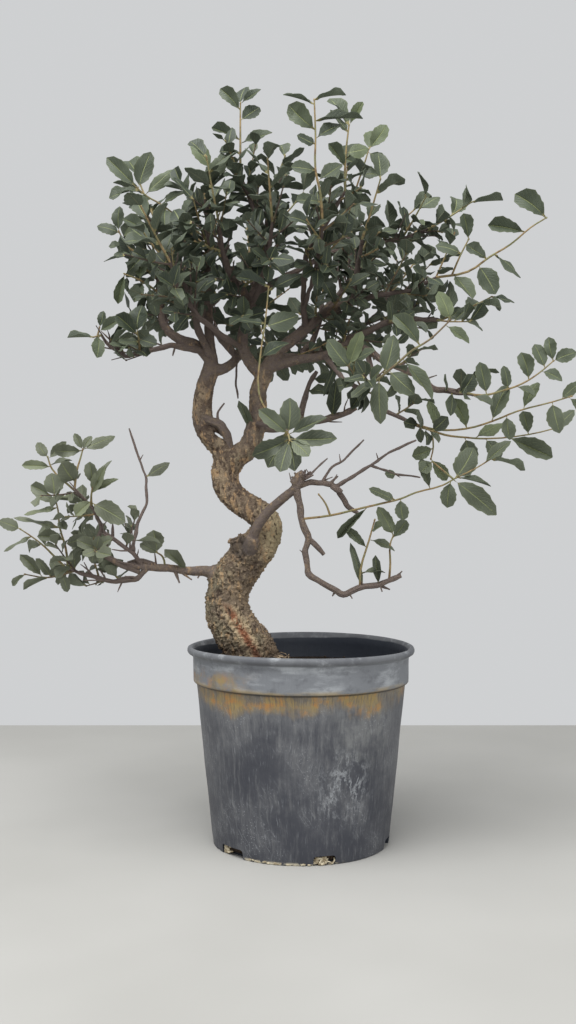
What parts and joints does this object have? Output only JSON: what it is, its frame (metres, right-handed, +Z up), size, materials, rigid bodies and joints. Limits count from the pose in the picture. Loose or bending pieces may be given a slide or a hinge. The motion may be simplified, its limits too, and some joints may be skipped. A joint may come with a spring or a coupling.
{
  "type": "potted cork oak bonsai",
  "caption": "Cork oak grown as a bonsai: fissured bent trunk, forked leaders, twiggy limbs and toothed evergreen leaves, in a round plastic nursery pot with soil.",
  "frame": {"origin": "middle of the pot's foot, on the surface it stands on", "axes": "+Z up along the pot's axis, -Y towards the front of the tree, +X to the right of the front view"},
  "size_m": [0.5032, 0.31, 0.6667],
  "materials": {
    "pot": "weathered charcoal plastic",
    "soil": "dark crumbly potting mix",
    "bark": "rough fissured cork bark",
    "leaves": "matt grey-green leaves on tan shoots"
  },
  "bodies": {
    "root": {"pot": "pot", "soil": "soil", "trunk_and_limbs": "bark", "spray_top_centre": "leaves", "spray_top_left": "leaves", "spray_tall_front": "leaves", "spray_top_right": "leaves", "spray_top_far_right": "leaves", "spray_upper_left": "leaves", "spray_left_pairs": "leaves", "spray_left_twig": "leaves", "spray_lower_crown": "leaves", "spray_lower_crown_inner": "leaves", "spray_outer_right": "leaves", "spray_lower_right_high": "leaves", "spray_lower_right_mid": "leaves", "spray_lower_right_low": "leaves", "spray_long_low": "leaves", "spray_left_top": "leaves", "spray_left_middle": "leaves", "spray_left_upper": "leaves", "spray_left_upright": "leaves", "spray_left_far": "leaves", "spray_left_low": "leaves", "spray_left_inner": "leaves", "spray_left_round": "leaves", "spray_low_first": "leaves", "spray_low_second": "leaves", "spray_star": "leaves", "spray_front_right": "leaves", "spray_farRightLimb_1": "leaves", "spray_farRightLimb_2": "leaves", "spray_leftLimb_3": "leaves", "spray_leftLimb_4": "leaves", "spray_leftLimb_5": "leaves", "spray_leftLimb_6": "leaves", "spray_tanLimb_7": "leaves", "spray_centreLimb_8": "leaves", "spray_centreLimb_9": "leaves", "spray_backLimb_10": "leaves", "spray_backLimb_11": "leaves", "spray_backLimb_12": "leaves", "spray_backLeftLimb_13": "leaves", "spray_backLeftLimb_14": "leaves", "spray_frontLimb_15": "leaves", "spray_frontLimb_16": "leaves", "spray_frontLimb_17": "leaves", "spray_innerLimb_18": "leaves", "spray_innerLimb_19": "leaves", "spray_frontLeftLimb_20": "leaves", "spray_frontMidLimb_21": "leaves", "spray_rearLimb_22": "leaves", "spray_rearRightLimb_23": "leaves", "spray_rearLowLimb_24": "leaves", "spray_rightLimb_25": "leaves", "spray_rightLimb_26": "leaves", "spray_rightUpperLimb_27": "leaves", "spray_backRightLimb_28": "leaves", "spray_lowRightLimb_29": "leaves", "spray_lowRightLimb_30": "leaves"}
  },
  "joints": []
}
